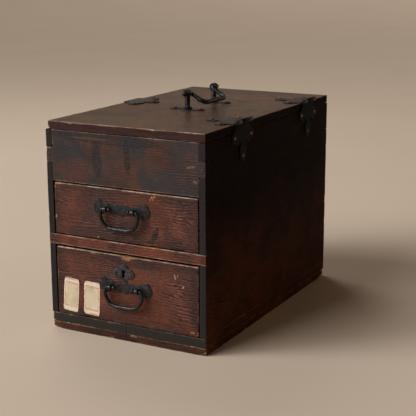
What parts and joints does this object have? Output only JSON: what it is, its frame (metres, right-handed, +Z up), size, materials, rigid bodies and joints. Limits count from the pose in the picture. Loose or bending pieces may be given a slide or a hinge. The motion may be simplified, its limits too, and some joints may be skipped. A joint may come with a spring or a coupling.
{
  "type": "apothecary cabinet",
  "caption": "Small wooden medicine cabinet with a hinged lid over a top compartment, a folding carrying handle and drawers with folding iron pulls.",
  "frame": {"origin": "middle of the base, at the height of the surface it stands on", "axes": "+Z up, -Y the front with the drawers, +X the side with the lid's hinges"},
  "size_m": [0.2061, 0.3069, 0.2398],
  "materials": {
    "lacquered_wood": "worn dark lacquer",
    "plain_wood": "bare, aged",
    "black_iron": "hammered, blackened",
    "nail_iron": "rusty",
    "label_paper": "old paper, matte"
  },
  "bodies": {
    "carcass": {"side_panel_left": "lacquered_wood", "side_panel_right": "lacquered_wood", "back_panel": "lacquered_wood", "front_panel": "lacquered_wood", "compartment_floor": "plain_wood", "drawer_rail": "lacquered_wood", "drawer_shelf": "plain_wood", "bottom_board_left": "lacquered_wood", "bottom_board_right": "lacquered_wood", "plinth_front": "lacquered_wood", "plinth_back": "lacquered_wood", "plinth_left": "lacquered_wood", "plinth_right": "lacquered_wood", "plinth_middle": "lacquered_wood", "hinge_front_side_leaf": "black_iron", "hinge_rear_side_leaf": "black_iron", "hinge_front_pin": "black_iron", "hinge_rear_pin": "black_iron", "staple_plate": "black_iron", "hasp_staple": "black_iron", "carcass_nails": "nail_iron"},
    "lid": {"lid_panel": "lacquered_wood", "lid_clamp_front": "lacquered_wood", "lid_clamp_back": "lacquered_wood", "hinge_front_lid_leaf": "black_iron", "hinge_rear_lid_leaf": "black_iron", "hasp_lid_leaf": "black_iron", "hasp_pin": "black_iron", "lid_handle_plate_front": "black_iron", "lid_handle_plate_rear": "black_iron", "lid_handle_post_front": "black_iron", "lid_handle_post_rear": "black_iron", "lid_nails": "nail_iron"},
    "lid_bail": {"lid_bail": "black_iron"},
    "hasp": {"hasp_strap": "black_iron"},
    "upper_drawer": {"upper_drawer_front": "lacquered_wood", "upper_drawer_side_left": "plain_wood", "upper_drawer_side_right": "plain_wood", "upper_drawer_back": "plain_wood", "upper_drawer_bottom": "plain_wood", "upper_pull_plate": "black_iron", "upper_pull_post_left": "black_iron", "upper_pull_post_right": "black_iron"},
    "upper_bail": {"upper_bail": "black_iron"},
    "lower_drawer": {"lower_drawer_front": "lacquered_wood", "lower_drawer_side_left": "plain_wood", "lower_drawer_side_right": "plain_wood", "lower_drawer_back": "plain_wood", "lower_drawer_bottom": "plain_wood", "lower_pull_plate": "black_iron", "lower_pull_post_left": "black_iron", "lower_pull_post_right": "black_iron", "keyhole_plate": "black_iron", "lock_case": "black_iron", "lower_drawer_nails": "nail_iron", "label_left": "label_paper", "label_right": "label_paper"},
    "lower_bail": {"lower_bail": "black_iron"},
    "lock_bolt": {"lock_bolt": "black_iron"}
  },
  "joints": [
    {"name": "lid_hinge", "type": "hinge", "parent": "carcass", "child": "lid", "pos_m": [0.09275, 0.0085, 0.22035], "axis": [0, 1, 0], "range_deg": [0, 240]},
    {"name": "lid_bail_swing", "type": "hinge", "parent": "lid", "child": "lid_bail", "pos_m": [0, 0.0095, 0.2356], "axis": [0, -1, 0], "range_deg": [-14, 250]},
    {"name": "hasp_swing", "type": "hinge", "parent": "lid", "child": "hasp", "pos_m": [-0.09035, 0.0085, 0.2136], "axis": [0, 1, 0], "range_deg": [-14, 140]},
    {"name": "upper_drawer_slide", "type": "slide", "parent": "carcass", "child": "upper_drawer", "axis": [0, -1, 0], "range_m": [0, 0.22]},
    {"name": "upper_bail_swing", "type": "hinge", "parent": "upper_drawer", "child": "upper_bail", "pos_m": [-0.0027, -0.1547, 0.136], "axis": [-1, 0, 0], "range_deg": [-8, 165]},
    {"name": "lower_drawer_slide", "type": "slide", "parent": "carcass", "child": "lower_drawer", "axis": [0, -1, 0], "range_m": [0, 0.22]},
    {"name": "lower_bail_swing", "type": "hinge", "parent": "lower_drawer", "child": "lower_bail", "pos_m": [0.0003, -0.1547, 0.0562], "axis": [-1, 0, 0], "range_deg": [-8, 165]},
    {"name": "lock_bolt_slide", "type": "slide", "parent": "lower_drawer", "child": "lock_bolt", "axis": [0, 0, 1], "range_m": [0, 0.007]}
  ]
}
